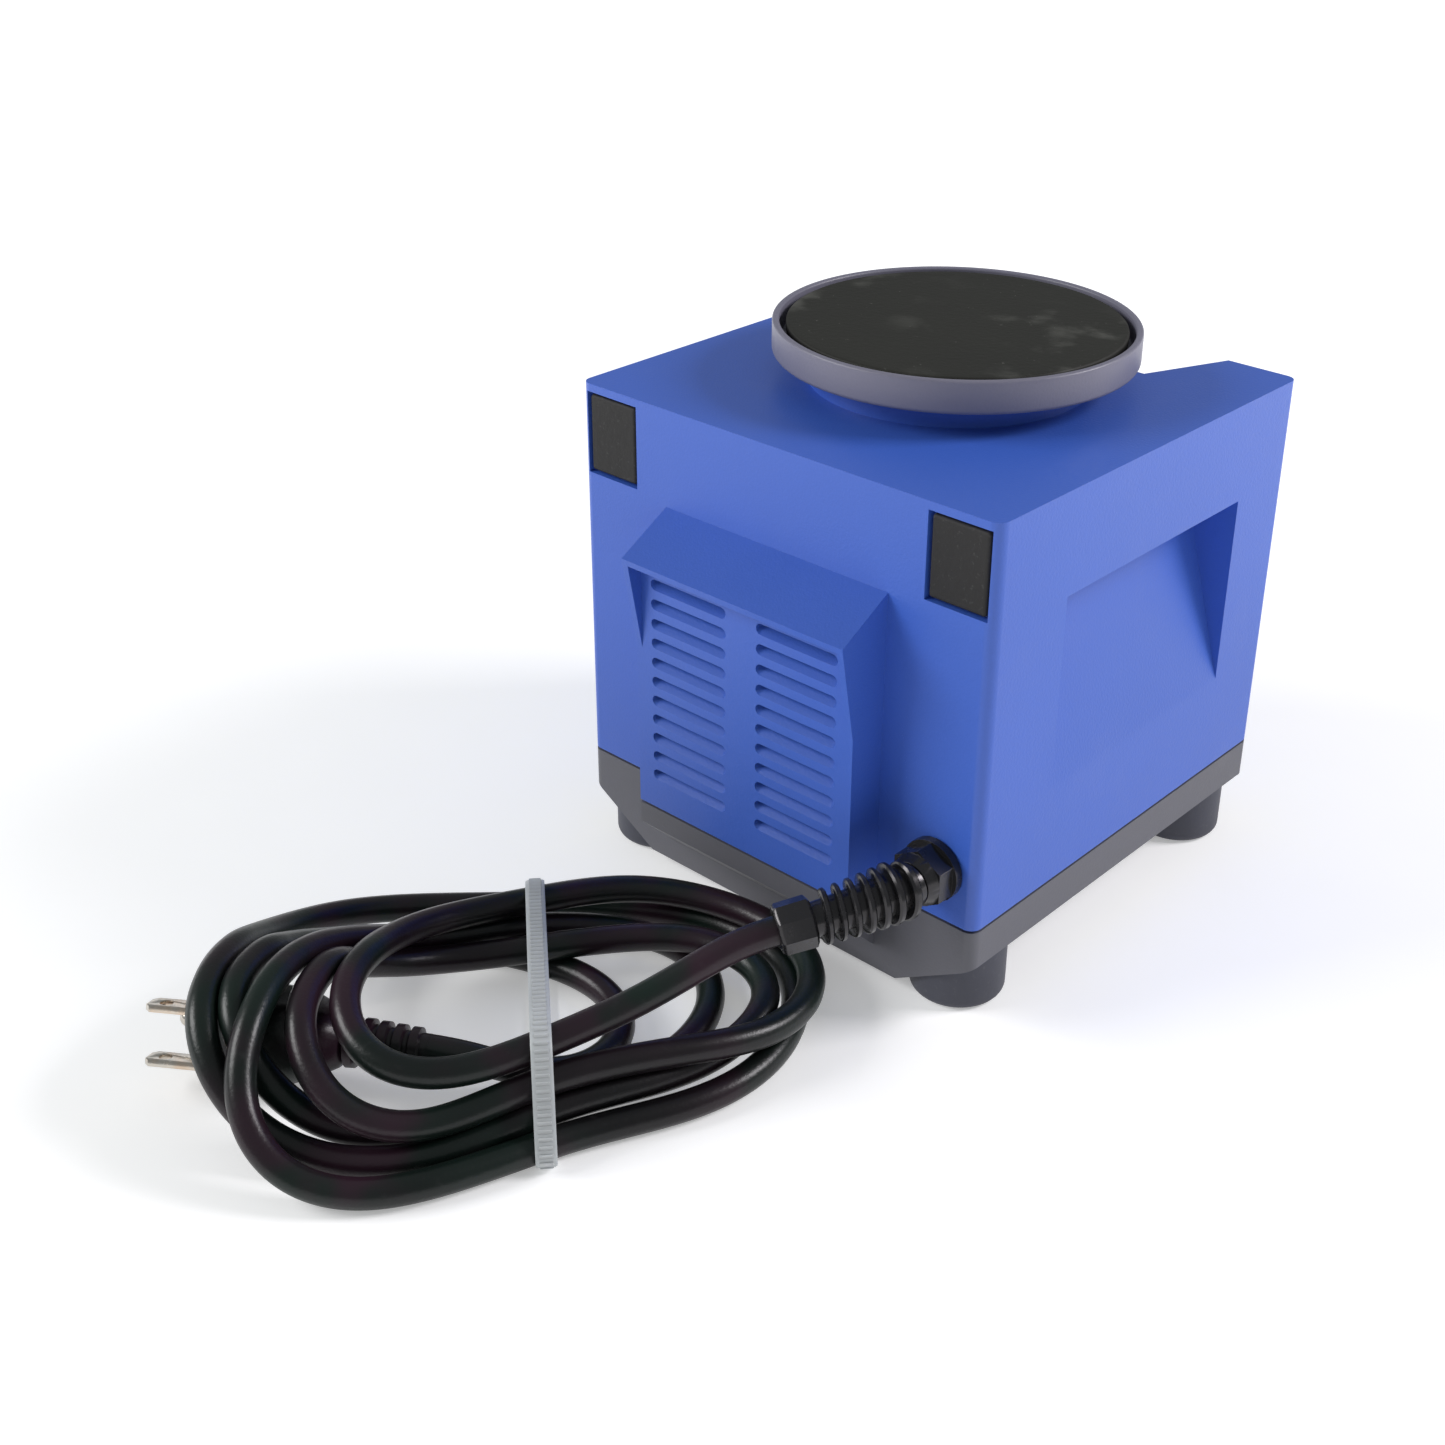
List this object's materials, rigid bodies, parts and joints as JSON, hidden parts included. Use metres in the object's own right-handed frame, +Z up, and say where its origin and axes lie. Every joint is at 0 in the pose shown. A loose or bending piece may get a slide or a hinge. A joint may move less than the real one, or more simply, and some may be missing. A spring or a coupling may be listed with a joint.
{
  "type": "vortex mixer",
  "caption": "Small bench vortex mixer: a boxy housing with side grips, rear vent cowl and front controls carries a round rubber-topped dish that orbits without turning.",
  "frame": {"origin": "on the bench under the machine, midway between its two sides and between its front face and the outer edge of the vent cowl", "axes": "+Z up, -Y towards the front with the controls, +Y towards the vent cowl and the mains lead, +X to the right as seen from the front"},
  "size_m": [0.1472, 0.2779, 0.1477],
  "materials": {
    "housing_blue": "satin moulded blue with a fine texture",
    "base_grey": "satin moulded grey",
    "black_rubber": "matt black rubber",
    "foot_rubber": "matt grey rubber",
    "rim_grey": "satin light grey",
    "black_gloss": "glossy black nylon",
    "cord_black": "satin black cord sheath",
    "steel": "plain zinc-plated steel",
    "iron": "rough cast iron",
    "copper": "varnished windings and laminations",
    "brass": "plated brass",
    "aluminium": "turned aluminium",
    "board_green": "green circuit board",
    "nylon": "translucent white nylon",
    "lens_green": "translucent green lens"
  },
  "bodies": {
    "chassis": {"ballast_block": "iron", "base_tray": "base_grey", "capacitor": "black_gloss", "casing_screw_1": "steel", "casing_screw_2": "steel", "casing_screw_3": "steel", "casing_screw_4": "steel", "control_board": "board_green", "control_panel": "base_grey", "cord_hank": "cord_black", "cord_tie": "nylon", "foot_1": "foot_rubber", "foot_2": "foot_rubber", "foot_3": "foot_rubber", "foot_4": "foot_rubber", "foot_screw_1": "steel", "foot_screw_2": "steel", "foot_screw_3": "steel", "foot_screw_4": "steel", "gland_body": "black_gloss", "gland_locknut": "steel", "gland_nut": "black_gloss", "housing": "housing_blue", "indicator_lens": "lens_green", "lower_bearing": "steel", "mains_lead": "cord_black", "motor_can": "aluminium", "motor_plate": "steel", "motor_post_1": "steel", "motor_post_2": "steel", "motor_post_3": "steel", "motor_post_4": "steel", "motor_stator": "copper", "plug_blade_1": "brass", "plug_blade_2": "brass", "plug_body": "cord_black", "plug_ground_pin": "brass", "rear_pad_left": "black_rubber", "rear_pad_right": "black_rubber", "seal_ring": "black_rubber", "speed_pot": "steel", "strain_relief_boot": "black_gloss", "switch_frame": "black_gloss", "terminal_block": "nylon", "upper_bearing": "steel"},
    "drive": {"motor_shaft": "steel", "rotor_core": "iron", "cooling_fan": "black_gloss", "eccentric_hub": "steel", "counterweight": "iron"},
    "platform": {"carrier_bearing": "steel", "dish_carrier": "aluminium", "dish": "rim_grey", "dish_mat": "black_rubber", "dish_screw": "steel"},
    "knob": {"speed_knob": "black_gloss", "knob_shaft": "steel", "knob_pointer": "nylon"},
    "rocker": {"power_rocker": "black_gloss"}
  },
  "joints": [
    {"name": "drive_spin", "type": "hinge", "parent": "chassis", "child": "drive", "pos_m": [0, -0.0102, 0.08], "axis": [0, 0, 1], "continuous": true},
    {"name": "dish_orbit", "type": "hinge", "parent": "drive", "child": "platform", "pos_m": [0, -0.01245, 0.12], "axis": [0, 0, 1], "continuous": true},
    {"name": "speed_knob_turn", "type": "hinge", "parent": "chassis", "child": "knob", "pos_m": [0.015, -0.05599, 0.10146], "axis": [0, -0.964, 0.2657], "range_deg": [-270, 0]},
    {"name": "power_rocker_tip", "type": "hinge", "parent": "chassis", "child": "rocker", "pos_m": [-0.018, -0.05782, 0.10196], "axis": [1, 0, 0], "range_deg": [-16, 0]}
  ],
  "couplings": [
    {"joint": "dish_orbit", "follows": "drive_spin", "ratio": -1}
  ]
}
